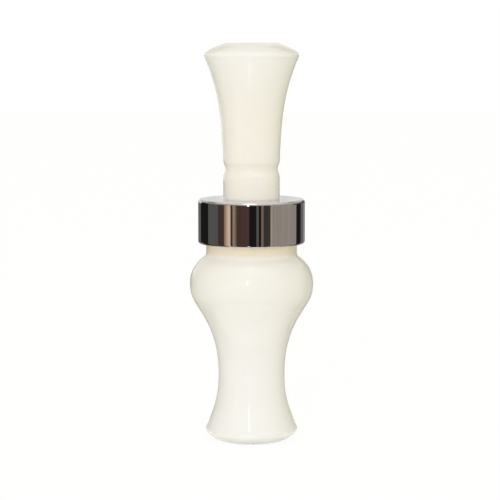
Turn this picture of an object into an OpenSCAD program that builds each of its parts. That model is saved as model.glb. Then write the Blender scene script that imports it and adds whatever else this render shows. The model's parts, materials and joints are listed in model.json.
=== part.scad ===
// Duck call: a turned acrylic barrel under a plated band, and a turned acrylic insert whose
// moulded tone board carries two thin reeds, a cork wedge and two sealing rings.
// Frame: millimetres, +Z up, mouthpiece down. The origin is on the axis at the mouthpiece's lip.
// The reeds lie on the tone board's front, towards -Y.

/* [Barrel] */
// Diameter of the bore that takes the insert's tenon
bore_d = 15.88; // [15:0.02:17]
// Height of the shoulder that carries the band
shoulder_h = 59.9; // [56:0.1:68]
// Diameter of the neck under the band
neck_d = 27.4; // [26:0.1:29]
// Diameter of the bulb
bulb_d = 37.24; // [33:0.1:42]
// Height of the bulb's widest ring
bulb_h = 48; // [42:0.1:51]
// Diameter of the waist
waist_d = 20; // [19:0.1:23]
// Height of the waist
waist_h = 20.3; // [16:0.1:26]
// Widest diameter of the mouthpiece
mouth_d = 28; // [26:0.1:32]
// Height of the mouthpiece's widest ring
mouth_h = 3.1; // [2.6:0.1:3.8]
// Diameter of the crest of the mouthpiece's lip
lip_d = 18.4; // [18.2:0.1:21]
// Width of the flat land that the lip stands on
lip_land = 0.8; // [0.5:0.1:1.2]

/* [Band] */
// Outer diameter of the band
band_d = 32.2; // [30:0.1:36]
// Height of the band
band_h = 13.4; // [11.5:0.1:15]
// Diameter of the barrel's spigot, which fills the band
spigot_d = 23.8; // [22:0.1:25]
// Thickness of the band's flange over the spigot's end
flange_t = 1.5; // [1:0.1:2]
// Rounding of the band's outer edges
band_edge_r = 1; // [0.4:0.1:1.6]

/* [Insert] */
// Length of the insert above the band
insert_h = 46.7; // [42:0.1:54]
// Diameter of the insert's foot, which sits on the band
foot_d = 17; // [16.9:0.05:18.5]
// Diameter at the bottom of the lanyard groove
groove_d = 15.8; // [15.4:0.05:16.4]
// Width of the lanyard groove
groove_w = 5.4; // [4:0.1:6]
// Height of the groove's centre above the band
groove_h = 9.1; // [8:0.1:12]
// Widest diameter of the bell
bell_d = 28.5; // [26:0.1:32]
// Depth of the bell's widest ring below its crest
bell_drop = 3.7; // [3:0.1:4.6]
// Diameter of the crest of the bell's lip
crest_d = 15.2; // [14.8:0.1:18]
// Bore of the insert above the tone board's stem
throat_d = 11; // [10.4:0.1:11.8]
// Bore of the bell just inside its lip
bell_bore_d = 13.8; // [13:0.1:14.6]

/* [Tone board] */
// Length of the tenon, from the insert's foot to the tone board's tip
tenon_len = 54; // [50:0.1:58]
// Length of the tenon's fully round part, which carries the two rings
bridge_len = 12.8; // [12.2:0.1:14]
// Length of the roof over the wedge
roof_len = 10.2; // [8:0.1:12]
// Diameter of the stem that is bonded into the insert
stem_d = 12.6; // [12.2:0.1:13]
// Length of the stem
stem_len = 19.7; // [15:0.1:22]
// Distance of the reed seat behind the axis
seat_back = 1; // [0.6:0.1:1.4]
// Height of the wedge slot at its closed end
slot_root = 1.9; // [1.6:0.1:2.2]
// Height of the wedge slot at its open end
slot_mouth = 4.2; // [3.6:0.1:4.6]
// Length of the curve that falls away from the reeds
curve_len = 25; // [20:0.1:28]
// Fall of the curve at the tip
tip_drop = 1.5; // [1:0.05:2]
// Width of the tone channel
channel_d = 4.8; // [4.4:0.1:5]
// Distance of the tone channel's axis behind the call's axis
channel_back = 2.2; // [2:0.05:2.3]
// Distance from the tip to the end of the tone channel
channel_end = 8; // [6:0.1:12]
// Diameter of the exhaust bore in the stem
exhaust_d = 9.8; // [9.4:0.1:10]
// Length of the underside's relief at the tip
tip_relief = 3; // [1:0.1:4]

/* [Reeds and wedge] */
// Thickness of one reed
reed_t = 0.25; // [0.2:0.01:0.3]
// Width of the reeds
reed_w = 13; // [12:0.1:13.6]
// Distance of the lower reed's end from the tone board's tip
lower_reed_back = 2.5; // [1.5:0.1:4]
// Length by which the upper reed is shorter than the lower one
upper_reed_short = 2.5; // [1.5:0.1:4]
// Length of the clipped corners of the reeds
reed_clip = 3; // [2:0.1:4]
// Diameter of the dimple in the upper reed
dimple_d = 2; // [1.5:0.1:2.5]
// Distance of the dimple from the upper reed's free end
dimple_back = 12; // [8:0.1:14]
// Width of the cork wedge
wedge_w = 12.4; // [11:0.1:12.8]
// Length of the wedge that stands out of its slot
wedge_proud = 2; // [1:0.1:3]

/* [Rings] */
// Thickness of the two sealing rings
ring_t = 1.6; // [1.5:0.02:1.7]
// Distance of the rear ring below the insert's foot
rear_ring_drop = 2.8; // [2.7:0.05:3.1]
// Distance between the two rings
ring_pitch = 6.4; // [5:0.1:6.6]

/* [Hidden] */
$fn = 96;

// Points on each curved stretch of an outline
curve_n = 12;
// Overrun of every cut past the face it opens
cut = 1;

// Clearances
tenon_gap = 0.19;
flange_gap = 0.11;
glue_gap = 0.05;
seal_gap = 0.04;
ring_side_gap = 0.2;
end_gap = 0.3;
lead_in = 0.4;

// Levels
band_top = shoulder_h + band_h;
spigot_top = band_top - flange_t;
call_h = band_top + insert_h;
tip_z = band_top - tenon_len;
bridge_z = band_top - bridge_len;
roof_z = bridge_z - roof_len;
curve_z = tip_z + curve_len;

// Radii
bore_r = bore_d / 2;
tenon_r = bore_r - tenon_gap;
flange_hole_r = bore_r + flange_gap;
stem_r = stem_d / 2;
ring_floor_r = bore_r - 2 * seal_gap - ring_t;
ring_centre_r = bore_r - seal_gap - ring_t / 2;

// Mouthpiece: its lip's inner roll, and the outer corner's roll above the widest ring
lip_roll_share = 0.6;
mouth_roll_h_share = 0.48;
mouth_roll_in_share = 0.045;
// Barrel: stations between the waist, the bulb and the neck, as shares of the way between them
flank_h_share = 0.693;
flank_r_share = 0.65;
collar_h_share = 0.85;
collar_r_share = 0.11;
neck_below_share = 0.22;
// Easing of the barrel's outline from each station to the next. A sweep has its leans at its start
// and end, then its reaches at its start and end; a roll has its level reach and its upright reach.
mouth_lip_shares = [0.3, 0.42];
mouth_roll_shares = [0, 0.9, 0.4, 0.4];
mouth_flare_shares = [1.8, 0, 0.37, 0.48];
flank_shares = [0, 2.06, 0.585, 0.1];
bulb_shares = [1.69, 0, 0.445, 0.5];
collar_shares = [0, 2.44, 0.337, 0.29];
neck_shares = [3.2, 0, 0.25, 0.5];
// Insert: the bell's outer corner, its inner roll, and where the trunk starts to flare
bell_roll_h_share = 0.3;
bell_roll_in_share = 0.025;
bell_lip_h_share = 0.45;
trunk_r_share = 1.006;
throat_h_share = 0.5;
// Easing of the insert's outline, in the same way
groove_shares = [0, 0, 0.45, 0.45];
bell_flare_shares = [0.16, 2.35, 0.45, 0.305];
bell_roll_shares = [1.2, 0, 0.4, 0.4];
bell_lip_shares = [0.42, 0.06];
bell_throat_shares = [1.6, 0, 0.3, 0.5];

// Outline helpers. Points are [radius, height].
// Cubic curve from a to d, without a itself
function curve(a, b, c, d) =
    [for (i = [1 : curve_n]) let (t = i / curve_n, u = 1 - t)
        u * u * u * a + 3 * u * u * t * b + 3 * u * t * t * c + t * t * t * d];
// Curve between two stations; each lean is a share of the chord's own slope, and each reach a
// share of the height between the stations
function sweep(a, d, shares) =
    let (h = d[1] - a[1], chord = d[0] - a[0])
    curve(a, a + shares[2] * [shares[0] * chord, h],
          d - shares[3] * [shares[1] * chord, h], d);
// Quarter turn from a level tangent at a to an upright one at d
function roll_up(a, d, shares) =
    curve(a, [a[0] + shares[0] * (d[0] - a[0]), a[1]],
          [d[0], d[1] - shares[1] * (d[1] - a[1])], d);
// Quarter turn from an upright tangent at a to a level one at d
function roll_in(a, d, shares) =
    curve(a, [a[0], a[1] + shares[0] * (d[1] - a[1])],
          [d[0] - shares[1] * (d[0] - a[0]), d[1]], d);
// Round corner of radius r about c, from angle from_a to angle to_a
function corner(c, r, from_a, to_a) =
    [for (i = [0 : curve_n]) let (a = from_a + (to_a - from_a) * i / curve_n)
        c + r * [cos(a), sin(a)]];

// Barrel stations, from the mouthpiece up
lip_in = [lip_d / 2 - lip_land / 2, 0];
lip_out = [lip_d / 2 + lip_land / 2, 0];
lip_bore = [bore_r, lip_roll_share * mouth_h];
mouth = [mouth_d / 2, mouth_h];
mouth_roll = [mouth_d / 2 * (1 - mouth_roll_in_share), mouth_h * (1 + mouth_roll_h_share)];
waist = [waist_d / 2, waist_h];
bulb = [bulb_d / 2, bulb_h];
neck = [neck_d / 2, shoulder_h - neck_below_share * (shoulder_h - bulb_h)];
flank = [waist[0] + flank_r_share * (bulb[0] - waist[0]),
         waist[1] + flank_h_share * (bulb[1] - waist[1])];
collar = [neck[0] + collar_r_share * (bulb[0] - neck[0]),
          bulb[1] + collar_h_share * (neck[1] - bulb[1])];

function barrel_outside() = concat(
    [lip_out],
    roll_up(lip_out, mouth, mouth_lip_shares),
    sweep(mouth, mouth_roll, mouth_roll_shares),
    sweep(mouth_roll, waist, mouth_flare_shares),
    sweep(waist, flank, flank_shares),
    sweep(flank, bulb, bulb_shares),
    sweep(bulb, collar, collar_shares),
    sweep(collar, neck, neck_shares));

// Insert stations, from the band up
foot = [foot_d / 2, band_top];
groove_lo = [foot_d / 2, band_top + groove_h - groove_w / 2];
groove_mid = [groove_d / 2, band_top + groove_h];
trunk = [foot_d / 2 * trunk_r_share, band_top + groove_h + groove_w / 2];
bell = [bell_d / 2, call_h - bell_drop];
bell_roll = [bell_d / 2 * (1 - bell_roll_in_share), bell[1] - bell_roll_h_share * bell_drop];
crest = [crest_d / 2, call_h];
bell_bore = [bell_bore_d / 2, call_h - bell_lip_h_share * bell_drop];
throat = [throat_d / 2, band_top + throat_h_share * insert_h];

function insert_outside() = concat(
    [foot, groove_lo],
    sweep(groove_lo, groove_mid, groove_shares),
    sweep(groove_mid, trunk, groove_shares),
    sweep(trunk, bell_roll, bell_flare_shares),
    sweep(bell_roll, bell, bell_roll_shares),
    roll_in(bell, crest, bell_lip_shares));

module barrel() {
    color("ivory")
    rotate_extrude()
    polygon(concat(
        barrel_outside(),
        [[neck[0], shoulder_h], [spigot_d / 2, shoulder_h], [spigot_d / 2, spigot_top],
         [bore_r + lead_in, spigot_top], [bore_r, spigot_top - lead_in], lip_bore],
        curve(lip_bore, [bore_r, lip_bore[1] / 2],
              [(bore_r + lip_in[0]) / 2, 0], lip_in)));
}

module band() {
    outer_r = band_d / 2;
    inner_r = spigot_d / 2 + glue_gap;
    color("gainsboro")
    rotate_extrude()
    polygon(concat(
        [[inner_r, shoulder_h]],
        corner([outer_r - band_edge_r, shoulder_h + band_edge_r], band_edge_r, -90, 0),
        corner([outer_r - band_edge_r, band_top - band_edge_r], band_edge_r, 0, 90),
        [[flange_hole_r, band_top], [flange_hole_r, spigot_top], [inner_r, spigot_top]]));
}

module insert() {
    socket_r = stem_r + glue_gap;
    socket_top = band_top + stem_len + end_gap;
    color("ivory")
    rotate_extrude()
    polygon(concat(
        insert_outside(),
        curve(crest, [(crest[0] + bell_bore[0]) / 2, crest[1]],
              [bell_bore[0], (crest[1] + bell_bore[1]) / 2], bell_bore),
        sweep(bell_bore, throat, bell_throat_shares),
        [[throat[0], socket_top], [socket_r, socket_top], [socket_r, band_top]]));
}

// Front face of the tone board, seen from the side as [back, up] points: the flat reed seat,
// then one arc that falls away to the tip
function board_face() =
    let (arc_r = (curve_len * curve_len + tip_drop * tip_drop) / (2 * tip_drop),
         arc_a = asin(curve_len / arc_r))
    concat(
        [[seat_back, bridge_z]],
        [for (i = [0 : curve_n]) let (a = arc_a * i / curve_n)
            [seat_back + arc_r * (1 - cos(a)), curve_z - arc_r * sin(a)]]);

// Underside of the roof over the wedge at height z
function roof_at(z) =
    seat_back - slot_root - (slot_mouth - slot_root) * (bridge_z - z) / roof_len;

// Side outline [back, up] drawn across the call, w wide
module across(w) {
    rotate([90, 0, 90])
    linear_extrude(w, center = true)
    children();
}

module ring_groove(z) {
    groove = ring_t + 2 * ring_side_gap;
    translate([0, 0, z - groove / 2])
    difference() {
        cylinder(h = groove, r = tenon_r + cut);
        translate([0, 0, -cut])
        cylinder(h = groove + 2 * cut, r = ring_floor_r);
    }
}

module tone_board() {
    exhaust_r = exhaust_d / 2;
    stem_top = band_top + stem_len;
    exhaust_z = band_top + exhaust_r;
    face = board_face();
    front = -tenon_r - cut;
    color("whitesmoke")
    difference() {
        union() {
            translate([0, 0, tip_z])
            cylinder(h = tenon_len, r = tenon_r);
            cylinder_between(band_top, stem_top - lead_in, stem_r);
            translate([0, 0, stem_top - lead_in])
            cylinder(h = lead_in, r1 = stem_r, r2 = stem_r - lead_in);
        }
        // Everything in front of the reed seat, the curve and the roof's end
        across(2 * tenon_r + 2 * cut)
        polygon(concat(
            face,
            [[seat_back + tip_drop, tip_z - cut], [front, tip_z - cut], [front, roof_z],
             [roof_at(roof_z), roof_z], [roof_at(bridge_z), bridge_z]]));
        // Underside of the tip
        across(2 * tenon_r + 2 * cut)
        polygon([[tenon_r - tip_relief, tip_z - cut], [tenon_r - tip_relief, tip_z],
                 [tenon_r, tip_z + tip_relief], [tenon_r + cut, tip_z + tip_relief],
                 [tenon_r + cut, tip_z - cut]]);
        // Tone channel, milled with a ball end under the reeds and drilled through the bridge
        translate([0, channel_back, tip_z + channel_end + channel_d / 2]) {
            sphere(d = channel_d);
            cylinder(h = exhaust_z - tip_z - channel_end - channel_d / 2, d = channel_d);
        }
        // Exhaust bore with its drill point
        cylinder_between(exhaust_z, stem_top + cut, exhaust_r);
        translate([0, 0, exhaust_z - exhaust_r / 2])
        cylinder(h = exhaust_r / 2, r1 = 0, r2 = exhaust_r);
        ring_groove(band_top - rear_ring_drop);
        ring_groove(band_top - rear_ring_drop - ring_pitch);
    }
}

module cylinder_between(z0, z1, r) {
    translate([0, 0, z0])
    cylinder(h = z1 - z0, r = r);
}

// Flat reed with clipped corners, from height free_z to the slot's closed end
module reed(free_z, back_y) {
    half = reed_w / 2;
    root_z = bridge_z - end_gap;
    translate([0, back_y, 0])
    rotate([90, 0, 0])
    linear_extrude(reed_t)
    polygon([[-half, root_z], [half, root_z], [half, free_z + reed_clip],
             [half - reed_clip, free_z], [reed_clip - half, free_z],
             [-half, free_z + reed_clip]]);
}

module lower_reed() {
    color("lightsteelblue")
    reed(tip_z + lower_reed_back, seat_back);
}

module upper_reed() {
    free_z = tip_z + lower_reed_back + upper_reed_short;
    top_y = seat_back - 2 * reed_t;
    // Radius of the ball that presses a dish half a reed deep
    dish = reed_t / 2;
    ball_r = (dimple_d * dimple_d / 4 + dish * dish) / (2 * dish);
    color("lightsteelblue")
    difference() {
        reed(free_z, seat_back - reed_t);
        translate([0, top_y - ball_r + dish, free_z + dimple_back])
        sphere(r = ball_r);
    }
}

module wedge() {
    root_z = bridge_z - end_gap;
    outer_z = roof_z - wedge_proud;
    reed_top = seat_back - 2 * reed_t;
    color("burlywood")
    across(wedge_w)
    polygon([[reed_top, root_z], [roof_at(root_z), root_z], [roof_at(roof_z), roof_z],
             [roof_at(roof_z), outer_z + wedge_proud / 2],
             [roof_at(roof_z) + wedge_proud / 2, outer_z], [reed_top, outer_z]]);
}

module o_ring(z) {
    color("dimgray")
    translate([0, 0, z])
    rotate_extrude()
    translate([ring_centre_r, 0])
    circle(d = ring_t);
}

module front_o_ring() o_ring(band_top - rear_ring_drop - ring_pitch);

module rear_o_ring() o_ring(band_top - rear_ring_drop);

barrel();
band();
insert();
tone_board();
lower_reed();
upper_reed();
wedge();
front_o_ring();
rear_o_ring();
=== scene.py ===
"""Duck call: turned ivory acrylic barrel and insert, a mirror-plated band, and the reeds inside.

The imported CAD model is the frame. Each sub-assembly is a class that turns, moulds or cuts its own
meshes at the CAD's sizes and dresses them, and each finish is a frozen dataclass that builds one
material. Sizes are millimetres in the fields and metres in Blender.
"""

import json
import logging
import math
from dataclasses import dataclass, field
from enum import Enum
from typing import Any

import bpy
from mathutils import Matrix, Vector

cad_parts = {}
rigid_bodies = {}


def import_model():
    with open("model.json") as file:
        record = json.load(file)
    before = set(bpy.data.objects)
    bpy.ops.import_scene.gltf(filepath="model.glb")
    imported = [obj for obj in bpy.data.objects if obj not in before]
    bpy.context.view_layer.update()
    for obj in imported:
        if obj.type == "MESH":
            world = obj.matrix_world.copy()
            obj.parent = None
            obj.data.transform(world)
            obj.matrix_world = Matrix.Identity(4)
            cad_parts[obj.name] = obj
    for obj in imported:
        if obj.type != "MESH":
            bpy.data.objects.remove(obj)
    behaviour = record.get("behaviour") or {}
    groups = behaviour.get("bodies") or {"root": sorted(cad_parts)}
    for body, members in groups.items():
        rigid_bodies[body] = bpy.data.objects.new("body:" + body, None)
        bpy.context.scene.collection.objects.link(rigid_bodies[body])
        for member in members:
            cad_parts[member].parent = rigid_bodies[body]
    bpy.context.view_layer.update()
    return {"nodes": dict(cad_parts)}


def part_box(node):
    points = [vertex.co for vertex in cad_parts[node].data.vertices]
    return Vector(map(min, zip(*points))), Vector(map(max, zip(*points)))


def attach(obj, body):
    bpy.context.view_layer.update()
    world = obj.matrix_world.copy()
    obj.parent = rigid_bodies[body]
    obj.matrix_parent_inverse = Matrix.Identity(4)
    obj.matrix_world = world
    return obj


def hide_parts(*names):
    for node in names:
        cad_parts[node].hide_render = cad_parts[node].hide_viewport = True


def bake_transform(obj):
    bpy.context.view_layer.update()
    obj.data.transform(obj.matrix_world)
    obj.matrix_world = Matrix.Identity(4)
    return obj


LOG = logging.getLogger("duck_call")
MM = 0.001
IMAGE_PX = 500
# Handle length of a round quarter turn, as a share of its radius
ROUND = 0.5523
# Height over the tone board's tip at which its curve starts, where the reeds begin to bend
CURVE_MM = 25.0
# Points of a turned outline nearer than this are one
WELD_MM = 0.002
# At this many degrees, no edge is sharp enough to stay crisp
SMOOTH_ALL = 180
# The input and output numbers of a colour mix
MIX_A, MIX_B, MIX_OUT = 6, 7, 2
# The rays that see a thing as it looks, and don't carry light to others
SEEING = ("Is Camera Ray", "Is Glossy Ray", "Is Transmission Ray")

Point = tuple[float, float]
Tree = bpy.types.NodeTree
Socket = bpy.types.NodeSocket


class Body(Enum):
    """The CAD bodies that pieces ride on."""

    BARREL = "barrel"
    SEALS = "seals"
    INSERT = "insert"
    WEDGE = "wedge"
    LOWER_REED = "lower_reed"
    UPPER_REED = "upper_reed"


class Slot(Enum):
    """The record's material slots."""

    BARREL = "barrel_acrylic"
    INSERT = "insert_acrylic"
    BAND = "band_plating"
    TONE_BOARD = "tone_board_polycarbonate"
    REED = "reed_film"
    CORK = "cork"
    RING = "ring_rubber"


class Paint(Enum):
    """The studio cards' paints."""

    BLACK = "202020"
    CHARCOAL = "404040"
    GRAPHITE = "606060"
    STEEL = "707070"
    PEWTER = "989898"
    COCOA = "504038"
    PLUM = "584040"
    CLAY = "907868"
    SAND = "C0A890"
    PEACH = "F0D0B8"
    TAUPE = "A8A098"
    SILVER = "D8D8D8"
    WHITE = "FFFFFF"


def linear(hex_colour: str) -> tuple[float, float, float, float]:
    """Turns an sRGB hex colour into linear RGBA.

    Args:
        hex_colour: six hex digits, such as "F2EEDF".

    Returns:
        Linear red, green and blue, with an alpha of 1.
    """
    channels = [int(hex_colour[i : i + 2], 16) / 255 for i in (0, 2, 4)]
    values = [c / 12.92 if c <= 0.04045 else ((c + 0.055) / 1.055) ** 2.4 for c in channels]
    return (values[0], values[1], values[2], 1.0)


def add_node(
    tree: Tree,
    kind: str,
    settings: dict[Any, Any] | None = None,
    links: dict[Any, Socket] | None = None,
) -> bpy.types.Node:
    """Adds one shader node.

    Args:
        tree: the node tree.
        kind: the node's type name.
        settings: values by property name, or by input name or number.
        links: output sockets by input name or number.

    Returns:
        The new node.
    """
    node = tree.nodes.new(kind)
    for key, value in (settings or {}).items():
        if isinstance(key, str) and hasattr(node, key):
            setattr(node, key, value)
        else:
            node.inputs[key].default_value = value
    for key, socket in (links or {}).items():
        tree.links.new(socket, node.inputs[key])
    return node


def new_material(name: str) -> tuple[bpy.types.Material, Tree]:
    """Makes an empty node material.

    Args:
        name: the material's name.

    Returns:
        The material and its node tree, with no nodes in it.
    """
    material = bpy.data.materials.new(name)
    material.use_nodes = True
    material.node_tree.nodes.clear()
    return material, material.node_tree


def cover(tree: Tree, shader: bpy.types.Node) -> None:
    """Links a shader node to the material's surface."""
    add_node(tree, "ShaderNodeOutputMaterial", links={"Surface": shader.outputs[0]})


def stretched(tree: Tree, place: Socket, scale: tuple[float, float, float]) -> Socket:
    """Scales pattern coordinates, so that an axis with a small number gets a long pattern."""
    return add_node(tree, "ShaderNodeMapping", {"Scale": scale}, {"Vector": place}).outputs["Vector"]


def noise(tree: Tree, place: Socket, size_mm: float, output: str = "Fac", **settings: float) -> Socket:
    """Adds a noise pattern.

    Args:
        tree: the node tree.
        place: the coordinates.
        size_mm: the size of one blotch.
        output: the output's name.
        settings: the noise's other inputs.

    Returns:
        The pattern.
    """
    values = {"Scale": 1 / (size_mm * MM), **settings}
    return add_node(tree, "ShaderNodeTexNoise", values, {"Vector": place}).outputs[output]


def spread(tree: Tree, value: Socket, results: Point, limits: Point = (0.3, 0.7)) -> Socket:
    """Spreads a value over a range.

    Args:
        tree: the node tree.
        value: the value.
        results: what the two limits become.
        limits: the values between which it varies; a noise keeps to the ones given here.

    Returns:
        The spread value.
    """
    ends = {"From Min": limits[0], "From Max": limits[1], "To Min": results[0], "To Max": results[1]}
    return add_node(tree, "ShaderNodeMapRange", ends, {"Value": value}).outputs["Result"]


def mixed(tree: Tree, first: str | Socket, second: str, share: Socket) -> Socket:
    """Mixes two colours.

    Args:
        tree: the node tree.
        first: the colour at a share of 0, as hex or as a socket.
        second: the colour at a share of 1, as hex.
        share: the share.

    Returns:
        The mixed colour.
    """
    mix = add_node(tree, "ShaderNodeMix", {"data_type": "RGBA", MIX_B: linear(second)}, {0: share})
    if isinstance(first, str):
        mix.inputs[MIX_A].default_value = linear(first)
    else:
        tree.links.new(first, mix.inputs[MIX_A])
    return mix.outputs[MIX_OUT]


def bumped(tree: Tree, pattern: Socket, strength: float, deep_mm: float) -> Socket:
    """Turns a pattern into a bumped normal."""
    values = {"Strength": strength, "Distance": deep_mm * MM}
    return add_node(tree, "ShaderNodeBump", values, {"Height": pattern}).outputs["Normal"]


@dataclass(frozen=True)
class CastAcrylic:
    """Ivory cast acrylic (PMMA), turned and buffed: glassy, faintly cloudy and slightly translucent.

    The fields that end in _at are heights over the floor, and the painted shade's other heights count down
    from it.
    """

    name: str
    white: str
    ivory: str
    white_at: float
    ivory_at: float
    # A faint tan painted shade on the neck under the band, and the heights where it fades in
    painted_shade: str = "F2E6CC"
    painted_shade_at: float = 0.0
    painted_shade_full_h: float = 2.1
    painted_shade_h: float = 3.9
    cloud_mm: float = 20.0
    turning_mm: float = 0.3
    scatter_mm: float = 0.7
    mottle: float = 0.5
    mark_deep_mm: float = 0.02
    roughness: Point = (0.05, 0.1)

    def build(self) -> bpy.types.Material:
        """Builds the material.

        Returns:
            The acrylic.
        """
        material, tree = new_material(self.name)
        place = add_node(tree, "ShaderNodeTexCoord").outputs["Object"]
        # The rod's tone drifts from ivory to white along its length, with clouds from the casting; on the
        # insert the whiter crest is partly painted light that lifts the crest's shade
        height = add_node(tree, "ShaderNodeSeparateXYZ", links={0: place}).outputs["Z"]
        drift = spread(tree, height, (0.0, 1.0), (self.white_at * MM, self.ivory_at * MM))
        cloud = noise(tree, place, self.cloud_mm, Detail=3.0, Roughness=0.45, Distortion=0.6)
        mottled = add_node(
            tree,
            "ShaderNodeMath",
            {"operation": "MULTIPLY_ADD", 1: self.mottle, 2: -self.mottle / 2},
            {0: cloud},
        )
        share = add_node(
            tree,
            "ShaderNodeMath",
            {"operation": "ADD", "use_clamp": True},
            {0: drift, 1: mottled.outputs[0]},
        )
        colour = mixed(tree, self.white, self.ivory, share.outputs[0])
        if self.painted_shade_at:
            # Painted shade: the neck is tinted a faint tan just under the band, where the band's overhang
            # shades it
            near = add_node(
                tree,
                "ShaderNodeMapRange",
                {
                    "interpolation_type": "SMOOTHSTEP",
                    "From Min": (self.painted_shade_at - self.painted_shade_h) * MM,
                    "From Max": (self.painted_shade_at - self.painted_shade_full_h) * MM,
                },
                {"Value": height},
            )
            colour = mixed(tree, colour, self.painted_shade, near.outputs["Result"])
        # Lathe marks left under the buffing: fine rings round the axis
        turned = stretched(tree, place, (0.02, 0.02, 1.0))
        rings = noise(tree, turned, self.turning_mm, Detail=2.0, Roughness=0.6)
        surface = add_node(
            tree,
            "ShaderNodeBsdfPrincipled",
            {
                "IOR": 1.49,
                "Subsurface Weight": 1.0,
                "subsurface_method": "BURLEY",
                "Subsurface Radius": (1.0, 0.8, 0.3),
                "Subsurface Scale": self.scatter_mm * MM,
            },
            {
                "Base Color": colour,
                "Roughness": spread(tree, rings, self.roughness),
                "Normal": bumped(tree, rings, 0.02, self.mark_deep_mm),
            },
        )
        cover(tree, surface)
        return material


@dataclass(frozen=True)
class MirrorPlate:
    """Bright nickel-chrome plate on a turned ring: a mirror with the faintest polishing haze."""

    name: str = "bright_nickel_chrome_plate"
    colour: str = "E0DEDA"
    haze_mm: float = 1.5
    roughness: Point = (0.02, 0.05)

    def build(self) -> bpy.types.Material:
        """Builds the material.

        Returns:
            The plate.
        """
        material, tree = new_material(self.name)
        place = add_node(tree, "ShaderNodeTexCoord").outputs["Object"]
        # Buffing lines run round the band, so the noise is stretched round the axis
        buffed = stretched(tree, place, (0.15, 0.15, 1.0))
        haze = noise(tree, buffed, self.haze_mm, Detail=4.0, Roughness=0.6)
        surface = add_node(
            tree,
            "ShaderNodeBsdfPrincipled",
            {"Base Color": linear(self.colour), "Metallic": 1.0},
            {"Roughness": spread(tree, haze, self.roughness, (0.35, 0.75))},
        )
        cover(tree, surface)
        return material


@dataclass(frozen=True)
class MouldedPolycarbonate:
    """Natural polycarbonate, injection moulded: milky, satin from the mould, with faint flow marks."""

    name: str = "moulded_polycarbonate"
    colour: str = "E9ECEA"
    flow: str = "DDE3E2"
    flow_mm: float = 9.0
    grain_mm: float = 0.12
    grain_deep_mm: float = 0.01
    scatter_mm: float = 2.5
    roughness: Point = (0.22, 0.34)

    def build(self) -> bpy.types.Material:
        """Builds the material.

        Returns:
            The polycarbonate.
        """
        material, tree = new_material(self.name)
        place = add_node(tree, "ShaderNodeTexCoord").outputs["Object"]
        # The melt ran along the board, so its marks are long in Z
        along = stretched(tree, place, (1.0, 1.0, 0.35))
        flow = noise(tree, along, self.flow_mm, Detail=3.0, Distortion=1.2)
        grain = noise(tree, place, self.grain_mm, Detail=2.0)
        surface = add_node(
            tree,
            "ShaderNodeBsdfPrincipled",
            {
                "IOR": 1.585,
                "Subsurface Weight": 0.6,
                "Subsurface Radius": (1.0, 1.0, 0.9),
                "Subsurface Scale": self.scatter_mm * MM,
            },
            {
                "Base Color": mixed(tree, self.colour, self.flow, flow),
                "Roughness": spread(tree, grain, self.roughness),
                "Normal": bumped(tree, grain, 0.08, self.grain_deep_mm),
            },
        )
        cover(tree, surface)
        return material


@dataclass(frozen=True)
class PolyesterFilm:
    """Reed film: biaxially drawn polyester, clear but frosted by sanding, so it scatters softly."""

    name: str = "frosted_polyester_film"
    colour: str = "DCE6EA"
    scratch_mm: float = 0.15
    scratch_deep_mm: float = 0.01
    roughness: Point = (0.18, 0.36)

    def build(self) -> bpy.types.Material:
        """Builds the material.

        Returns:
            The film.
        """
        material, tree = new_material(self.name)
        place = add_node(tree, "ShaderNodeTexCoord").outputs["Object"]
        # Sanding runs along the reed, so its scratches are long in Z
        along = stretched(tree, place, (1.0, 1.0, 0.05))
        scratches = noise(tree, along, self.scratch_mm, Detail=3.0, Roughness=0.7)
        surface = add_node(
            tree,
            "ShaderNodeBsdfPrincipled",
            {"Base Color": linear(self.colour), "IOR": 1.6, "Transmission Weight": 0.45},
            {
                "Roughness": spread(tree, scratches, self.roughness),
                "Normal": bumped(tree, scratches, 0.15, self.scratch_deep_mm),
            },
        )
        cover(tree, surface)
        return material


@dataclass(frozen=True)
class PressedCork:
    """Agglomerated cork, sanded: tan granules of a millimetre or so with darker seams and pits."""

    name: str = "pressed_cork"
    light: str = "D2A878"
    dark: str = "A97C4E"
    seam: str = "6E4B2C"
    granule_mm: float = 1.1
    wander_mm: float = 0.8
    nudge_mm: float = 0.5
    pit_deep_mm: float = 0.06

    def build(self) -> bpy.types.Material:
        """Builds the material.

        Returns:
            The cork.
        """
        material, tree = new_material(self.name)
        place = add_node(tree, "ShaderNodeTexCoord").outputs["Object"]
        # Noise nudges the cells about, so that the granules aren't straight-sided
        nudged = add_node(
            tree,
            "ShaderNodeVectorMath",
            {"operation": "MULTIPLY_ADD", 1: (self.nudge_mm * MM,) * 3},
            {0: noise(tree, place, self.wander_mm, "Color", Detail=2.0), 2: place},
        ).outputs[0]
        granule = {"Scale": 1 / (self.granule_mm * MM)}
        cells = add_node(tree, "ShaderNodeTexVoronoi", granule, {"Vector": nudged})
        edges = add_node(
            tree, "ShaderNodeTexVoronoi", {"feature": "DISTANCE_TO_EDGE", **granule}, {"Vector": nudged}
        ).outputs["Distance"]
        pick = add_node(tree, "ShaderNodeSeparateColor", links={0: cells.outputs["Color"]})
        body = mixed(tree, self.light, self.dark, pick.outputs[0])
        near = spread(tree, edges, (1.0, 0.0), (0.02, 0.12))
        surface = add_node(
            tree,
            "ShaderNodeBsdfPrincipled",
            {"Roughness": 0.85, "IOR": 1.4},
            {
                "Base Color": mixed(tree, body, self.seam, near),
                "Normal": bumped(tree, edges, 0.5, self.pit_deep_mm),
            },
        )
        cover(tree, surface)
        return material


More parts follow.
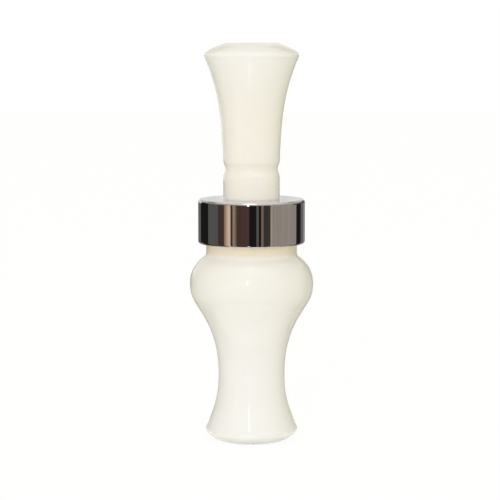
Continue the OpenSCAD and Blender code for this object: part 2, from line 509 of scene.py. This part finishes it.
@dataclass(frozen=True)
class NitrileRubber:
    """Black nitrile rubber, compression moulded: a dull sheen from the wax bloom on its skin."""

    name: str = "moulded_nitrile_rubber"
    black: str = "17171A"
    bloom: str = "2A2A2D"
    bloom_mm: float = 2.5
    roughness: Point = (0.38, 0.55)

    def build(self) -> bpy.types.Material:
        """Builds the material.

        Returns:
            The rubber.
        """
        material, tree = new_material(self.name)
        place = add_node(tree, "ShaderNodeTexCoord").outputs["Object"]
        bloom = noise(tree, place, self.bloom_mm, Detail=4.0)
        surface = add_node(
            tree,
            "ShaderNodeBsdfPrincipled",
            {"IOR": 1.52},
            {
                "Base Color": mixed(tree, self.black, self.bloom, bloom),
                "Roughness": spread(tree, bloom, self.roughness),
            },
        )
        cover(tree, surface)
        return material


def clear_selection() -> None:
    """Leaves nothing selected, in object mode."""
    if bpy.context.object and bpy.context.object.mode != "OBJECT":
        bpy.ops.object.mode_set(mode="OBJECT")
    for item in list(bpy.context.view_layer.objects.selected):
        item.select_set(False)


def take_up(piece: bpy.types.Object) -> None:
    """Makes a piece the only selected and active one.

    Args:
        piece: the object.
    """
    clear_selection()
    piece.select_set(True)
    bpy.context.view_layer.objects.active = piece


def select_points(piece: bpy.types.Object, chosen: list[bool]) -> None:
    """Selects the vertices marked in a list, with the piece active, and leaves it in edit mode.

    Args:
        piece: the active mesh object, in object mode.
        chosen: one mark for each vertex.
    """
    bpy.ops.object.mode_set(mode="EDIT")
    bpy.ops.mesh.select_mode(type="VERT")
    bpy.ops.mesh.select_all(action="DESELECT")
    bpy.ops.object.mode_set(mode="OBJECT")
    for vertex, wanted in zip(piece.data.vertices, chosen):
        vertex.select = wanted
    bpy.ops.object.mode_set(mode="EDIT")


def settle(piece: bpy.types.Object, name: str) -> None:
    """Puts a piece's place, turn and scale into its mesh, and names it.

    Args:
        piece: the mesh object.
        name: the name that it and its mesh get.
    """
    take_up(piece)
    bpy.ops.object.transform_apply(location=True, rotation=True, scale=True)
    piece.name = piece.data.name = name


def apply_modifier(piece: bpy.types.Object, kind: str, **settings: Any) -> None:
    """Adds a modifier to a piece and applies it.

    Args:
        piece: the mesh object.
        kind: the modifier's type.
        settings: its properties.
    """
    take_up(piece)
    modifier = piece.modifiers.new(kind.lower(), kind)
    for key, value in settings.items():
        setattr(modifier, key, value)
    bpy.ops.object.modifier_apply(modifier=modifier.name)


def smooth(piece: bpy.types.Object, sharp_deg: float) -> None:
    """Shades a piece smooth, but leaves edges sharper than an angle crisp."""
    take_up(piece)
    bpy.ops.object.shade_smooth_by_angle(angle=math.radians(sharp_deg))


def hand_over(
    piece: bpy.types.Object,
    material: bpy.types.Material,
    body: Body,
    node: str,
    rides: bool = True,
) -> None:
    """Dresses a finished piece, and puts it on its body in place of its CAD node.

    Args:
        piece: the finished mesh object.
        material: its only material.
        body: the body it rides on.
        node: the CAD node it stands for.
        rides: whether the piece is put on its body; if not, it is left on none.
    """
    piece.data.materials.clear()
    piece.data.materials.append(material)
    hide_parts(node)
    if rides:
        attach(piece, body.value)
    LOG.info("%s: %d faces, %s", piece.name, len(piece.data.polygons), material.name)


@dataclass
class Outline:
    """A closed turned outline of Bezier stretches, with points as (radius, height)."""

    start: Point
    stretches: list[tuple[Point, Point, Point]] = field(default_factory=list)
    smoothness: int = 12
    sharp_deg: float = 40.0

    @property
    def end(self) -> Point:
        """The last point so far."""
        return self.stretches[-1][2] if self.stretches else self.start

    def curve_to(self, handle_a: Point, handle_b: Point, point: Point) -> None:
        """Adds a curved stretch with its two handles."""
        self.stretches.append((handle_a, handle_b, point))

    def line_to(self, *points: Point) -> None:
        """Adds straight stretches.

        Args:
            points: where each of them ends.
        """
        for point in points:
            a = self.end
            third = ((point[0] - a[0]) / 3, (point[1] - a[1]) / 3)
            near, far = (a[0] + third[0], a[1] + third[1]), (point[0] - third[0], point[1] - third[1])
            self.curve_to(near, far, point)

    def sweep_to(self, point: Point, leans: Point, reaches: Point) -> None:
        """Adds an easing stretch.

        Args:
            point: where it ends.
            leans: slopes at its start and end, as shares of the chord's slope.
            reaches: handle lengths at its start and end, as shares of its height.
        """
        a = self.end
        chord, height = point[0] - a[0], point[1] - a[1]
        near = (a[0] + reaches[0] * leans[0] * chord, a[1] + reaches[0] * height)
        far = (point[0] - reaches[1] * leans[1] * chord, point[1] - reaches[1] * height)
        self.curve_to(near, far, point)

    def roll_up_to(self, point: Point, level: float, upright: float) -> None:
        """Adds a quarter turn that starts level and ends upright.

        Args:
            point: where it ends.
            level: length of the level handle, as a share of the width.
            upright: length of the upright handle, as a share of the height.
        """
        a = self.end
        near = (a[0] + level * (point[0] - a[0]), a[1])
        self.curve_to(near, (point[0], point[1] - upright * (point[1] - a[1])), point)

    def roll_in_to(self, point: Point, upright: float, level: float) -> None:
        """Adds a quarter turn that starts upright and ends level.

        Args:
            point: where it ends.
            upright: length of the upright handle, as a share of the height.
            level: length of the level handle, as a share of the width.
        """
        a = self.end
        near = (a[0], a[1] + upright * (point[1] - a[1]))
        self.curve_to(near, (point[0] - level * (point[0] - a[0]), point[1]), point)

    def turn(self, name: str, steps: int) -> bpy.types.Object:
        """Turns the outline into a solid of revolution about the Z axis.

        Args:
            name: the piece's name.
            steps: divisions round the axis.

        Returns:
            The finished mesh object, at the origin.
        """
        clear_selection()
        bpy.ops.curve.primitive_bezier_curve_add()
        drawn = bpy.context.object
        spline = drawn.data.splines[0]
        spline.bezier_points.add(len(self.stretches) - 2)
        spline.use_cyclic_u = True
        spline.resolution_u = self.smoothness
        drawn.data.dimensions = "3D"
        places = [self.start] + [stretch[2] for stretch in self.stretches[:-1]]
        for i, (knot, place) in enumerate(zip(spline.bezier_points, places)):
            knot.handle_left_type = knot.handle_right_type = "FREE"
            knot.co = Vector((place[0], 0, place[1])) * MM
            after, before = self.stretches[i][0], self.stretches[i - 1][1]
            knot.handle_right = Vector((after[0], 0, after[1])) * MM
            knot.handle_left = Vector((before[0], 0, before[1])) * MM
        bpy.ops.object.convert(target="MESH")
        piece = bpy.context.object
        settle(piece, name)
        bpy.ops.object.mode_set(mode="EDIT")
        bpy.ops.mesh.select_all(action="SELECT")
        bpy.ops.mesh.spin(steps=steps, angle=math.tau, center=(0, 0, 0), axis=(0, 0, 1))
        bpy.ops.mesh.select_all(action="SELECT")
        bpy.ops.mesh.remove_doubles(threshold=WELD_MM * MM)
        bpy.ops.mesh.normals_make_consistent(inside=False)
        bpy.ops.object.mode_set(mode="OBJECT")
        smooth(piece, self.sharp_deg)
        return piece


@dataclass
class Barrel:
    """The barrel: mouthpiece, waist, bulb and the spigot that fills the band."""

    shoulder: float
    spigot_top: float
    bulb_r: float
    bore_r: float = 7.94
    spigot_r: float = 11.9
    neck_r: float = 13.7
    bulb_h: float = 48.0
    waist_r: float = 10.0
    waist_h: float = 20.3
    mouth_r: float = 14.0
    mouth_h: float = 3.1
    lip_in_r: float = 8.8
    lip_out_r: float = 9.6
    lead_in: float = 0.4
    neck_share: float = 0.22
    flank_shares: Point = (0.65, 0.693)
    collar_shares: Point = (0.11, 0.85)
    flare_shares: Point = (0.955, 1.48)
    lip_share: float = 0.6
    steps: int = 192

    def outline(self) -> Outline:
        """Draws the outline from the lip up the outside, and back down the bore.

        Returns:
            The closed outline.
        """
        neck = (self.neck_r, self.shoulder - self.neck_share * (self.shoulder - self.bulb_h))
        flank = (
            self.waist_r + self.flank_shares[0] * (self.bulb_r - self.waist_r),
            self.waist_h + self.flank_shares[1] * (self.bulb_h - self.waist_h),
        )
        collar = (
            self.neck_r + self.collar_shares[0] * (self.bulb_r - self.neck_r),
            self.bulb_h + self.collar_shares[1] * (neck[1] - self.bulb_h),
        )
        flare = (self.mouth_r * self.flare_shares[0], self.mouth_h * self.flare_shares[1])
        lip_bore = self.lip_share * self.mouth_h
        shape = Outline((self.lip_out_r, 0))
        shape.roll_up_to((self.mouth_r, self.mouth_h), level=0.3, upright=0.42)
        shape.sweep_to(flare, leans=(0, 0.9), reaches=(0.4, 0.4))
        shape.sweep_to((self.waist_r, self.waist_h), leans=(1.8, 0), reaches=(0.37, 0.48))
        shape.sweep_to(flank, leans=(0, 2.06), reaches=(0.585, 0.1))
        shape.sweep_to((self.bulb_r, self.bulb_h), leans=(1.69, 0), reaches=(0.445, 0.5))
        shape.sweep_to(collar, leans=(0, 2.44), reaches=(0.337, 0.29))
        shape.sweep_to(neck, leans=(3.2, 0), reaches=(0.25, 0.5))
        shape.line_to((self.neck_r, self.shoulder), (self.spigot_r, self.shoulder))
        shape.line_to((self.spigot_r, self.spigot_top), (self.bore_r + self.lead_in, self.spigot_top))
        shape.line_to((self.bore_r, self.spigot_top - self.lead_in), (self.bore_r, lip_bore))
        shape.curve_to(
            (self.bore_r, lip_bore / 2), ((self.bore_r + self.lip_in_r) / 2, 0), (self.lip_in_r, 0)
        )
        shape.line_to((self.lip_out_r, 0))
        return shape

    def build(self, acrylic: bpy.types.Material) -> None:
        """Turns the barrel and hands it over."""
        piece = self.outline().turn("turned_barrel", self.steps)
        hand_over(piece, acrylic, Body.BARREL, "barrel")


@dataclass
class Band:
    """The plated band with its flange over the barrel's end."""

    bottom: float
    top: float
    outer_r: float
    inner_r: float = 11.95
    hole_r: float = 8.05
    flange: float = 1.5
    edge_r: float = 0.95
    low_edge_r: float = 0.75
    steps: int = 256

    def outline(self) -> Outline:
        """Draws the outline from the lower inside edge round the outside to the flange's hole.

        Returns:
            The closed outline.
        """
        shape = Outline((self.inner_r, self.bottom))
        shape.line_to((self.outer_r - self.low_edge_r, self.bottom))
        shape.roll_up_to((self.outer_r, self.bottom + self.low_edge_r), ROUND, ROUND)
        shape.line_to((self.outer_r, self.top - self.edge_r))
        shape.roll_in_to((self.outer_r - self.edge_r, self.top), ROUND, ROUND)
        shape.line_to((self.hole_r, self.top), (self.hole_r, self.top - self.flange))
        shape.line_to((self.inner_r, self.top - self.flange), (self.inner_r, self.bottom))
        return shape

    def build(self, plate: bpy.types.Material) -> None:
        """Turns the band and hands it over."""
        piece = self.outline().turn("plated_band", self.steps)
        hand_over(piece, plate, Body.BARREL, "band")


@dataclass
class Insert:
    """The insert: foot, lanyard groove, trunk and bell."""

    seat: float
    top: float
    bell_r: float
    foot_r: float = 8.5
    groove_r: float = 7.9
    groove_h: float = 9.1
    groove_w: float = 5.4
    bell_drop: float = 3.7
    crest_r: float = 7.6
    bell_bore_r: float = 6.9
    throat_r: float = 5.5
    socket_r: float = 6.35
    socket_h: float = 20.0
    trunk_share: float = 1.006
    flare_shares: Point = (0.975, 0.3)
    bore_share: float = 0.45
    steps: int = 192

    def outline(self) -> Outline:
        """Draws the outline from the foot up the outside, and back down the throat.

        Returns:
            The closed outline.
        """
        half = self.groove_w / 2
        middle = self.seat + self.groove_h
        bell_z = self.top - self.bell_drop
        flare = (self.bell_r * self.flare_shares[0], bell_z - self.flare_shares[1] * self.bell_drop)
        bore = (self.bell_bore_r, self.top - self.bore_share * self.bell_drop)
        socket = self.seat + self.socket_h
        shape = Outline((self.foot_r, self.seat))
        shape.line_to((self.foot_r, middle - half))
        shape.sweep_to((self.groove_r, middle), leans=(0, 0), reaches=(0.45, 0.45))
        shape.sweep_to((self.foot_r * self.trunk_share, middle + half), leans=(0, 0), reaches=(0.45, 0.45))
        shape.sweep_to(flare, leans=(0.16, 2.35), reaches=(0.45, 0.305))
        shape.sweep_to((self.bell_r, bell_z), leans=(1.2, 0), reaches=(0.4, 0.4))
        shape.roll_in_to((self.crest_r, self.top), upright=0.42, level=0.06)
        shape.curve_to(((self.crest_r + bore[0]) / 2, self.top), (bore[0], (self.top + bore[1]) / 2), bore)
        shape.sweep_to((self.throat_r, (self.seat + self.top) / 2), leans=(1.6, 0), reaches=(0.3, 0.5))
        shape.line_to((self.throat_r, socket), (self.socket_r, socket), (self.socket_r, self.seat))
        shape.line_to((self.foot_r, self.seat))
        return shape

    def build(self, acrylic: bpy.types.Material) -> None:
        """Turns the insert and hands it over."""
        piece = self.outline().turn("turned_insert", self.steps)
        hand_over(piece, acrylic, Body.INSERT, "insert")


@dataclass
class ToneBoard:
    """The moulded tone board, with its arrises softened as a mould leaves them."""

    node: bpy.types.Object
    arris: float = 0.12
    weld: float = 0.001
    flat_deg: float = 0.1
    arris_deg: float = 30.0
    sharp_deg: float = 35.0

    def build(self, polycarbonate: bpy.types.Material) -> None:
        """Softens a copy of the CAD node's edges and hands it over.

        Args:
            polycarbonate: its finish.
        """
        piece = bpy.data.objects.new("moulded_tone_board", self.node.data.copy())
        bpy.context.scene.collection.objects.link(piece)
        take_up(piece)
        bpy.ops.object.mode_set(mode="EDIT")
        bpy.ops.mesh.select_all(action="SELECT")
        bpy.ops.mesh.remove_doubles(threshold=self.weld * MM)
        bpy.ops.mesh.dissolve_limited(angle_limit=math.radians(self.flat_deg))
        bpy.ops.object.mode_set(mode="OBJECT")
        limit = math.radians(self.arris_deg)
        apply_modifier(
            piece, "BEVEL", width=self.arris * MM, segments=2, limit_method="ANGLE", angle_limit=limit
        )
        smooth(piece, self.sharp_deg)
        hand_over(piece, polycarbonate, Body.INSERT, "tone_board")


@dataclass
class Reed:
    """One reed of thin film, with clipped corners at its free end."""

    node: str
    body: Body
    bend_from: float
    bend_to: float
    dimple_r: float = 0.0
    dimple_back: float = 12.0
    clip: float = 3.0
    cell: float = 0.4
    sharp_deg: float = 40.0

    def build(self, film: bpy.types.Material) -> None:
        """Cuts the reed from a sheet and gives it its thickness and dimple; it rides on no body.

        Args:
            film: its finish.
        """
        low, high = (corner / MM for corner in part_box(self.node))
        size, middle = high - low, (low + high) / 2
        clear_selection()
        bpy.ops.mesh.primitive_grid_add(
            x_subdivisions=round(size.x / self.cell),
            y_subdivisions=round(size.z / self.cell),
            size=1,
            location=middle * MM,
            rotation=(math.pi / 2, 0, 0),
        )
        piece = bpy.context.object
        piece.scale = (size.x * MM, size.z * MM, 1)
        settle(piece, f"film_{self.node}")
        bpy.ops.object.mode_set(mode="EDIT")
        for side in (-1, 1):
            bpy.ops.mesh.select_all(action="SELECT")
            corner = Vector((side * size.x / 2, middle.y, low.z + self.clip)) * MM
            bpy.ops.mesh.bisect(plane_co=corner, plane_no=(side, 0, -1), clear_outer=True)
        bpy.ops.object.mode_set(mode="OBJECT")
        apply_modifier(piece, "SOLIDIFY", thickness=size.y * MM, offset=0.0, use_even_offset=True)
        if self.dimple_r:
            centre = Vector((0, low.y, low.z + self.dimple_back)) * MM
            for vertex in piece.data.vertices:
                away = (vertex.co - centre).length / (self.dimple_r * MM)
                if away < 1 and vertex.co.y < middle.y * MM:
                    vertex.co.y += size.y / 2 * MM * (1 - away * away)
        smooth(piece, self.sharp_deg)
        hand_over(piece, film, self.body, self.node, rides=False)
        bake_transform(piece)


@dataclass
class Wedge:
    """The cork wedge that clamps the reeds, cut to the slope of its slot."""

    slope: float = 2.3 / 10.2
    proud: float = 2.0
    corner: float = 0.25
    grain: float = 0.12
    cell: float = 0.2
    pit: float = 0.7

    def build(self, cork: bpy.types.Material) -> None:
        """Cuts the wedge from a block, softens it and pits its skin.

        Args:
            cork: its finish.
        """
        low, high = (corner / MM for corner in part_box("wedge"))
        size, middle = high - low, (low + high) / 2
        clear_selection()
        bpy.ops.mesh.primitive_cube_add(size=1, location=middle * MM)
        piece = bpy.context.object
        piece.scale = size * MM
        settle(piece, "cork_wedge")
        bpy.ops.object.mode_set(mode="EDIT")
        # The roof of the slot rises towards its mouth, so the wedge thins towards its root
        cuts = (
            (Vector((0, low.y, low.z + self.proud)), Vector((0, -1, self.slope))),
            (Vector((0, low.y, low.z + self.proud / 2)), Vector((0, -1, -1))),
        )
        for place, outwards in cuts:
            bpy.ops.mesh.select_all(action="SELECT")
            bpy.ops.mesh.bisect(plane_co=place * MM, plane_no=outwards, clear_outer=True, use_fill=True)
        bpy.ops.object.mode_set(mode="OBJECT")
        apply_modifier(piece, "BEVEL", width=self.corner * MM, segments=3)
        apply_modifier(piece, "REMESH", mode="VOXEL", voxel_size=self.cell * MM)
        pits = bpy.data.textures.new("cork_pits", "CLOUDS")
        pits.noise_scale = self.pit * MM
        apply_modifier(piece, "DISPLACE", texture=pits, strength=self.grain * MM, mid_level=1.0)
        smooth(piece, SMOOTH_ALL)
        hand_over(piece, cork, Body.WEDGE, "wedge")


@dataclass
class SealRings:
    """The two sealing rings, each with its moulding flash at the inner and outer equators."""

    nodes: tuple[str, str] = ("front_o_ring", "rear_o_ring")
    flash: float = 0.03
    tolerance: float = 0.01
    steps: int = 128
    cord_steps: int = 40

    def build(self, rubber: bpy.types.Material) -> None:
        """Moulds one ring, copies it for the other groove, and hands both over.

        Args:
            rubber: their finish.
        """
        low, high = (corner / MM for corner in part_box(self.nodes[0]))
        thick = (high.z - low.z) / 2
        ring_r = high.x - thick
        level = (low.z + high.z) / 2
        clear_selection()
        bpy.ops.mesh.primitive_torus_add(
            major_segments=self.steps,
            minor_segments=self.cord_steps,
            major_radius=ring_r * MM,
            minor_radius=thick * MM,
            location=(0, 0, level * MM),
        )
        first = bpy.context.object
        settle(first, "moulded_front_ring")
        for outwards in (-1, 1):
            edge_r = ring_r + outwards * thick
            on_equator = [
                abs(v.co.z / MM - level) < self.tolerance
                and abs(math.hypot(v.co.x, v.co.y) / MM - edge_r) < self.tolerance
                for v in first.data.vertices
            ]
            select_points(first, on_equator)
            share = 1 + outwards * self.flash / edge_r
            bpy.ops.transform.resize(value=(share, share, 1), center_override=(0, 0, level * MM))
            bpy.ops.object.mode_set(mode="OBJECT")
        smooth(first, SMOOTH_ALL)
        second = bpy.data.objects.new("moulded_rear_ring", first.data.copy())
        bpy.context.scene.collection.objects.link(second)
        second.location.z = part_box(self.nodes[1])[0].z - low.z * MM
        settle(second, "moulded_rear_ring")
        for piece, node in zip((first, second), self.nodes):
            hand_over(piece, rubber, Body.SEALS, node)


@dataclass(frozen=True)
class Panel:
    """One card of the belt round the call: it runs from its azimuth, right of the camera, to the next."""

    start: float
    paint: Paint
    fades: bool = False


@dataclass(frozen=True)
class Card:
    """A curved or flat card that only mirrors see: an edge from low to high, turned round the axis."""

    name: str
    start: float
    turn: float
    low: Point
    high: Point
    paint: Paint
    strength: float = 0.85
    fade_to: Paint | None = None
    streak_mm: float = 9.0
    streak_share: float = 0.15
    step: float = 4.0

    def finish(self) -> bpy.types.Material:
        """Builds the card's paint, with faint upright streaks, lit evenly.

        Returns:
            The paint.
        """
        material, tree = new_material(self.name)
        place = add_node(tree, "ShaderNodeTexCoord").outputs["Object"]
        streaks = noise(tree, stretched(tree, place, (1.0, 1.0, 0.06)), self.streak_mm, Detail=2.0)
        levels = ((1 - self.streak_share) * self.strength, (1 + self.streak_share) * self.strength)
        glow = add_node(
            tree,
            "ShaderNodeEmission",
            {"Color": linear(self.paint.value)},
            {"Strength": spread(tree, streaks, levels)},
        )
        if self.fade_to:
            along = add_node(tree, "ShaderNodeTexCoord").outputs["UV"]
            share = add_node(tree, "ShaderNodeSeparateXYZ", links={0: along}).outputs["X"]
            tree.links.new(mixed(tree, self.paint.value, self.fade_to.value, share), glow.inputs["Color"])
        # Light on its way from the acrylic passes, so that the plate throws the room's light back on it
        scattered = add_node(tree, "ShaderNodeLightPath").outputs["Diffuse Depth"]
        clear = add_node(tree, "ShaderNodeBsdfTransparent")
        sides = {0: scattered, 1: glow.outputs[0], 2: clear.outputs[0]}
        cover(tree, add_node(tree, "ShaderNodeMixShader", links=sides))
        return material

    def build(self) -> None:
        """Bends a grid to the card's place and dresses it."""
        clear_selection()
        bpy.ops.mesh.primitive_grid_add(
            x_subdivisions=max(2, round(abs(self.turn) / self.step)), y_subdivisions=1, size=1
        )
        card = bpy.context.object
        card.name = card.data.name = self.name
        for vertex in card.data.vertices:
            along, up = vertex.co.x + 0.5, vertex.co.y + 0.5
            reach, height = (a + up * (b - a) for a, b in zip(self.low, self.high))
            vertex.co = around(self.start + along * self.turn, reach, height) * MM
        card.visible_camera = card.visible_diffuse = card.visible_shadow = False
        card.visible_transmission = False
        card.data.materials.append(self.finish())


def around(azimuth: float, reach: float, height: float) -> Vector:
    """Places a point round the call.

    Args:
        azimuth: degrees to the right of the camera's side, seen from above.
        reach: distance from the axis.
        height: height over the floor.

    Returns:
        The point.
    """
    turned = math.radians(azimuth - 90)
    return Vector((reach * math.cos(turned), reach * math.sin(turned), height))


@dataclass
class Studio:
    """The pale floor, the soft light, the cards that the plate mirrors, and the camera."""

    distance: float = 545.0
    eye_h: float = 118.0
    aim_h: float = 57.73
    focal_px: float = 1813.0
    axis_px: float = 1.55
    sensor_mm: float = 36.0
    clip_mm: float = 10.0
    world_light: float = 0.77
    world_tint: str = "FFFDEE"
    floor_r: float = 3000.0
    floor_sides: int = 64
    floor_glow: float = 0.896
    paper: float = 0.92
    glow_share: float = 0.86
    table_r: float = 46.0
    belt_r: float = 330.0
    belt_low: float = 0.6
    belt_high: float = 160.0
    rear_high: float = 56.0
    rear_upper_h: float = 290.0
    rear_from: float = 125.0
    ceiling_h: float = 400.0
    step_in: float = 5.0
    belt: tuple[Panel, ...] = (
        Panel(-180, Paint.STEEL),
        Panel(-140, Paint.BLACK),
        Panel(-105, Paint.GRAPHITE),
        Panel(-75, Paint.COCOA),
        Panel(-60, Paint.CLAY, fades=True),
        Panel(-50, Paint.PEACH),
        Panel(-45, Paint.CHARCOAL),
        Panel(-40, Paint.SAND, fades=True),
        Panel(-30, Paint.COCOA),
        Panel(-20, Paint.PLUM),
        Panel(-5, Paint.BLACK),
        Panel(10, Paint.GRAPHITE),
        Panel(15, Paint.BLACK),
        Panel(20, Paint.CLAY),
        Panel(25, Paint.CHARCOAL),
        Panel(40, Paint.SAND),
        Panel(45, Paint.TAUPE),
        Panel(110, Paint.BLACK),
        Panel(130, Paint.STEEL),
        Panel(145, Paint.PEWTER),
    )

    def camera(self) -> None:
        """Sets the camera where the photograph was taken from."""
        lens = bpy.data.cameras.new("photo_camera")
        lens.sensor_width = self.sensor_mm
        lens.lens = self.focal_px / IMAGE_PX * self.sensor_mm
        lens.clip_start = self.clip_mm * MM
        eye = bpy.data.objects.new("photo_camera", lens)
        aside = -self.axis_px * self.distance / self.focal_px * MM
        eye.location = (aside, -self.distance * MM, self.eye_h * MM)
        target = Vector((aside, 0, self.aim_h * MM))
        eye.rotation_euler = (target - eye.location).to_track_quat("-Z", "Y").to_euler()
        bpy.context.scene.collection.objects.link(eye)
        bpy.context.scene.camera = eye

    def seen_directly(self, tree: Tree) -> Socket:
        """Tells the rays that see the room as it looks from the ones that carry its light.

        Args:
            tree: the node tree.

        Returns:
            A socket that is 1 for the seeing rays and 0 for the rest.
        """
        rays = add_node(tree, "ShaderNodeLightPath")
        seen = rays.outputs[SEEING[0]]
        for kind in SEEING[1:]:
            either = {0: seen, 1: rays.outputs[kind]}
            seen = add_node(tree, "ShaderNodeMath", {"operation": "MAXIMUM"}, either).outputs[0]
        return seen

    def world(self) -> None:
        """Lights everything softly, and shows white to the camera, mirrors and glass."""
        world = bpy.data.worlds.new("soft_room")
        bpy.context.scene.world = world
        world.use_nodes = True
        tree = world.node_tree
        tree.nodes.clear()
        seen = self.seen_directly(tree)
        level = spread(tree, seen, (self.world_light, 1.0), (0.0, 1.0))
        tint = mixed(tree, self.world_tint, Paint.WHITE.value, seen)
        sky = add_node(tree, "ShaderNodeBackground", links={"Color": tint, "Strength": level})
        add_node(tree, "ShaderNodeOutputWorld", links={"Surface": sky.outputs["Background"]})

    def floor(self) -> None:
        """Lays the plain pale floor, which keeps a faint shadow."""
        clear_selection()
        bpy.ops.mesh.primitive_circle_add(
            vertices=self.floor_sides, radius=self.floor_r * MM, fill_type="NGON"
        )
        floor = bpy.context.object
        floor.name = "studio_floor"
        material, tree = new_material("pale_floor")
        seen = self.seen_directly(tree)
        level = spread(tree, seen, (0.0, self.floor_glow), (0.0, 1.0))
        paper = add_node(tree, "ShaderNodeBsdfDiffuse", {"Color": (self.paper,) * 3 + (1.0,)})
        glow = add_node(tree, "ShaderNodeEmission", links={"Strength": level})
        share = spread(tree, seen, (0.0, self.glow_share), (0.0, 1.0))
        # Seeing rays get the glow and a small part of the lit paper, which holds the shadow
        dimmed = add_node(tree, "ShaderNodeMixShader", links={0: share, 1: paper.outputs[0]})
        both = add_node(tree, "ShaderNodeAddShader", links={0: dimmed.outputs[0], 1: glow.outputs[0]})
        cover(tree, both)
        floor.data.materials.append(material)

    def cards(self) -> None:
        """Stands the belt of cards, the grey room behind it, and the strips that make the highlights."""
        ends = [panel.start for panel in self.belt[1:]] + [self.belt[0].start + 360]
        near, far, low = self.table_r, self.belt_r, self.belt_low
        top, high, rear = self.ceiling_h, self.belt_high, self.rear_high
        nexts = [panel.paint for panel in self.belt[1:]] + [self.belt[0].paint]
        for number, (panel, end, then) in enumerate(zip(self.belt, ends, nexts)):
            behind = abs((panel.start + end) / 2) > self.rear_from
            place = (panel.start, end - panel.start)
            looks = {"paint": panel.paint, "fade_to": then if panel.fades else None}
            edge = (far, rear if behind else high)
            Card(f"belt_card_{number}", *place, (far, low), edge, **looks).build()
            if not behind:
                Card(f"table_card_{number}", *place, (near, low), (far, low), **looks).build()
        inner_wall, inner_top = far - self.step_in, top - self.step_in
        zones = (
            Card("left_wall", -136, 106, (far, high), (far, top), Paint.TAUPE),
            Card("front_wall", -30, 166, (far, high), (far, top), Paint.SILVER, strength=0.7),
            Card("rear_wall", 136, 88, (far, rear), (far, high), Paint.SILVER, strength=1.1),
            Card("rear_upper_wall", 136, 88, (far, high), (far, self.rear_upper_h), Paint.SILVER),
            Card("rear_dim_wall", 136, 88, (far, self.rear_upper_h), (far, top), Paint.TAUPE),
            Card("rear_bright_wall", 168, 24, (inner_wall, high), (inner_wall, top), Paint.WHITE),
            Card("rear_table", self.rear_from, 110, (near, low), (far, low), Paint.TAUPE),
            Card("right_wall", 100, 62, (inner_wall, rear), (inner_wall, high), Paint.GRAPHITE),
            Card("ceiling", 0, 360, (1, top), (far, top), Paint.WHITE, strength=0.8),
            Card("bright_ceiling", -32, 50, (20, inner_top), (210, inner_top), Paint.WHITE, strength=2.2),
            Card("upper_strip", -9.2, 4, (300, 88), (300, 225), Paint.WHITE, strength=5.0),
            Card("lower_strip", -8.2, 5, (131, 2), (182, 2), Paint.WHITE, strength=3.0),
        )
        for card in zones:
            card.build()

    def lamp(self, name: str, place: Vector, size: Point, radiance: float, tint: str) -> None:
        """Hangs an area lamp that faces the call's middle and lights it without showing in the gloss.

        Args:
            name: the lamp's name.
            place: where it hangs.
            size: its width and height.
            radiance: its brightness, where 1 is white.
            tint: its colour.
        """
        light = bpy.data.lights.new(name, "AREA")
        light.shape = "RECTANGLE"
        light.size, light.size_y = size[0] * MM, size[1] * MM
        light.energy = radiance * math.pi * light.size * light.size_y
        light.color = linear(tint)[:3]
        lamp = bpy.data.objects.new(name, light)
        lamp.location = place * MM
        middle = Vector((0, 0, self.aim_h * MM))
        lamp.rotation_euler = (middle - lamp.location).to_track_quat("-Z", "Y").to_euler()
        lamp.visible_camera = lamp.visible_glossy = False
        bpy.context.scene.collection.objects.link(lamp)

    def lamps(self) -> None:
        """Hangs the lamps."""
        self.lamp("key_softbox", around(-12, 1200, 580), size=(600, 600), radiance=3.4, tint="BFC3F6")
        self.lamp("low_softbox", around(-6, 1200, 60), size=(600, 200), radiance=7.0, tint="F4F4FF")

    def build(self) -> None:
        """Sets the whole studio."""
        self.camera()
        self.world()
        self.floor()
        self.cards()
        self.lamps()
        bpy.context.scene.view_settings.view_transform = "Standard"


def main() -> None:
    """Loads the frame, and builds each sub-assembly and the studio."""
    logging.basicConfig(level=logging.INFO, format="%(relativeCreated)6d %(name)s: %(message)s")
    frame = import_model()
    Studio().build()

    low_barrel, high_barrel = (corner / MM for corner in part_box("barrel"))
    low_band, high_band = (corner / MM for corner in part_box("band"))
    low_insert, high_insert = (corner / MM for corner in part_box("insert"))
    low_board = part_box("tone_board")[0] / MM
    barrel_acrylic = CastAcrylic(
        "ivory_cast_acrylic_barrel",
        white="FAF9F0",
        ivory="F8F5E8",
        white_at=20,
        ivory_at=60,
        # The neck gets a tan painted shade under the band
        painted_shade_at=low_band.z,
        scatter_mm=0.9,
    ).build()
    # The insert whitens towards its crest: partly its tone, partly painted light that lifts the crest's
    # shade
    insert_acrylic = CastAcrylic(
        "ivory_cast_acrylic_insert", white="FBF9F0", ivory="F8F4E4", white_at=120, ivory_at=100
    ).build()
    film = PolyesterFilm().build()
    bend_from, bend_to = low_board.z + CURVE_MM, low_board.z
    Barrel(low_band.z, high_barrel.z, high_barrel.x).build(barrel_acrylic)
    Band(low_band.z, high_band.z, high_band.x).build(MirrorPlate().build())
    Insert(low_insert.z, high_insert.z, high_insert.x).build(insert_acrylic)
    ToneBoard(frame["nodes"]["tone_board"]).build(MouldedPolycarbonate().build())
    Reed("lower_reed", Body.LOWER_REED, bend_from, bend_to).build(film)
    Reed("upper_reed", Body.UPPER_REED, bend_from, bend_to, dimple_r=1.0).build(film)
    Wedge().build(PressedCork().build())
    SealRings().build(NitrileRubber().build())


if __name__ == "__main__":
    main()
